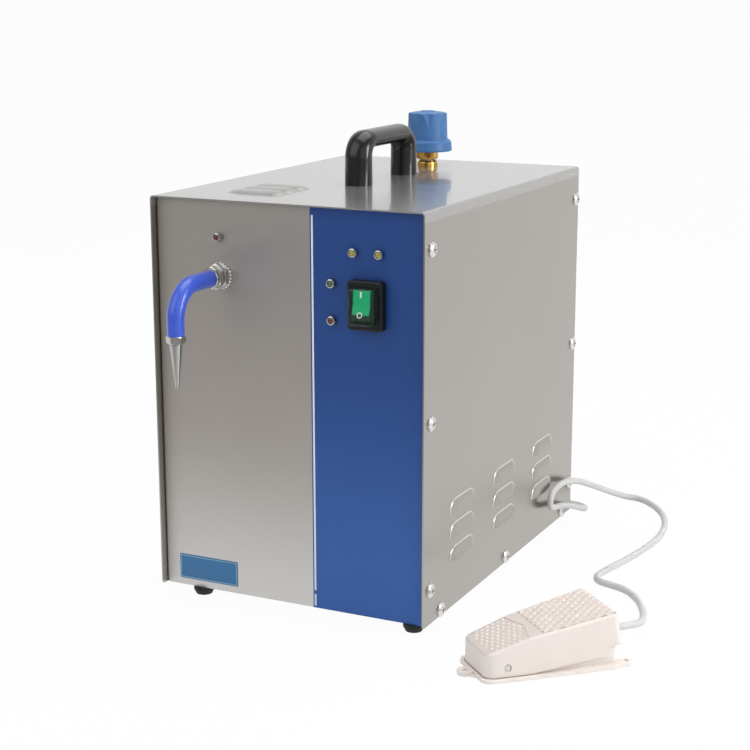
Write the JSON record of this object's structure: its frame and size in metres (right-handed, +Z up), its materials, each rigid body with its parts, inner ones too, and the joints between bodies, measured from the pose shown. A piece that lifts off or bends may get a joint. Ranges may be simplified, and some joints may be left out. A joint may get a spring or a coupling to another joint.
{
  "type": "jewelry steam cleaner",
  "caption": "Countertop steam cleaner for jewelry: louvered steel boiler cabinet with a front steam nozzle, rocker switch, lamps, filler cap and a corded foot switch.",
  "frame": {"origin": "centre of the cabinet's footprint, on the counter that its four feet and the foot switch stand on", "axes": "+Z up, +Y from the front panel to the rear panel, +X to the right as seen from the front"},
  "size_m": [0.4225, 0.5086, 0.399],
  "materials": {
    "cover_grey": "satin grey coated steel",
    "stainless": "fine embossed stainless",
    "sheet_steel": "plain",
    "overlay_blue": "printed film",
    "badge_blue": "printed film",
    "rubber_black": "moulded",
    "screw_steel": "bright",
    "handle_black": "glossy",
    "brass": "machined",
    "knob_blue": "moulded",
    "silicone_clear": "moulded",
    "insulation": "felt",
    "chrome": "polished",
    "board_green": "lacquered",
    "plastic_black": "moulded",
    "lens_amber": "clear tinted",
    "lens_green": "clear tinted",
    "lens_red": "clear tinted",
    "rocker_green": "clear tinted",
    "boot_clear": "clear vinyl",
    "sleeve_blue": "silicone",
    "pedal_ivory": "moulded",
    "cord_grey": "extruded"
  },
  "bodies": {
    "cabinet": {"cover_shell": "cover_grey", "front_panel": "stainless", "blue_overlay": "overlay_blue", "badge_plate": "badge_blue", "base_tray": "sheet_steel", "rear_panel": "sheet_steel", "rubber_feet": "rubber_black", "foot_screws": "screw_steel", "cover_screws": "screw_steel", "carry_handle": "handle_black", "handle_screws": "screw_steel", "filler_bush": "brass", "boiler_tank": "sheet_steel", "tank_jacket": "insulation", "tank_stand": "sheet_steel", "heater_element": "chrome", "level_probe": "sheet_steel", "limit_thermostat": "plastic_black", "steam_manifold": "brass", "safety_valve": "brass", "pressure_switch": "plastic_black", "steam_pipe_inlet": "sheet_steel", "solenoid_body": "brass", "solenoid_coil": "plastic_black", "steam_pipe_outlet": "sheet_steel", "lamp_bezels": "chrome", "amber_lenses": "lens_amber", "green_lens": "lens_green", "red_lenses": "lens_red", "switch_frame": "plastic_black", "switch_boot": "boot_clear", "star_washer": "screw_steel", "bulkhead_fitting": "brass", "bulkhead_nut": "chrome", "union_nut": "chrome", "nozzle_pipe": "sheet_steel", "hose_sleeve": "sleeve_blue", "nozzle_ferrule": "chrome", "steam_nozzle": "chrome", "control_board": "board_green", "power_relay": "plastic_black", "mains_inlet": "plastic_black", "cord_gland": "plastic_black", "drain_pipe": "sheet_steel", "drain_valve_body": "brass", "pedal_base": "pedal_ivory", "pedal_pin": "screw_steel", "pedal_spring": "screw_steel", "micro_switch": "plastic_black", "pedal_gland": "cord_grey", "cord_lead": "cord_grey", "cord_coil": "cord_grey", "cord_tail": "cord_grey"},
    "rocker": {"heating_rocker": "rocker_green"},
    "pedal": {"pedal_cover": "pedal_ivory"},
    "plunger": {"micro_plunger": "plastic_black"},
    "cap_carrier": {"cap_seal": "silicone_clear"},
    "cap": {"cap_plug": "brass", "cap_knob": "knob_blue"},
    "drain_handle": {"drain_lever": "screw_steel"}
  },
  "joints": [
    {"name": "heating_switch", "type": "hinge", "parent": "cabinet", "child": "rocker", "pos_m": [0.0735, -0.1752, 0.27], "axis": [1, 0, 0], "range_deg": [0, 20]},
    {"name": "foot_pedal", "type": "hinge", "parent": "cabinet", "child": "pedal", "pos_m": [0.20085, -0.20961, 0.01], "axis": [-0.7254, 0.6884, 0], "range_deg": [0, 3.5], "stiffness_Nm_per_rad": 8, "springref_deg": -2.86, "deforming": ["pedal_spring"]},
    {"name": "foot_plunger", "type": "slide", "parent": "cabinet", "child": "plunger", "axis": [0, 0, -1], "range_m": [0, 0.0018]},
    {"name": "cap_lift", "type": "slide", "parent": "cabinet", "child": "cap_carrier", "axis": [0, 0, 1], "range_m": [0, 0.0081]},
    {"name": "cap_turn", "type": "hinge", "parent": "cap_carrier", "child": "cap", "pos_m": [-0.0085, 0.1235, 0.3535], "axis": [0, 0, 1], "range_deg": [0, 1440]},
    {"name": "drain_turn", "type": "hinge", "parent": "cabinet", "child": "drain_handle", "pos_m": [-0.085, 0.1985, 0.052], "axis": [0, 0, 1], "range_deg": [0, 90]}
  ],
  "couplings": [
    {"joint": "foot_plunger", "follows": "foot_pedal", "m_per_rad": 0.0275},
    {"joint": "cap_lift", "follows": "cap_turn", "m_per_rad": 0.00031831}
  ]
}
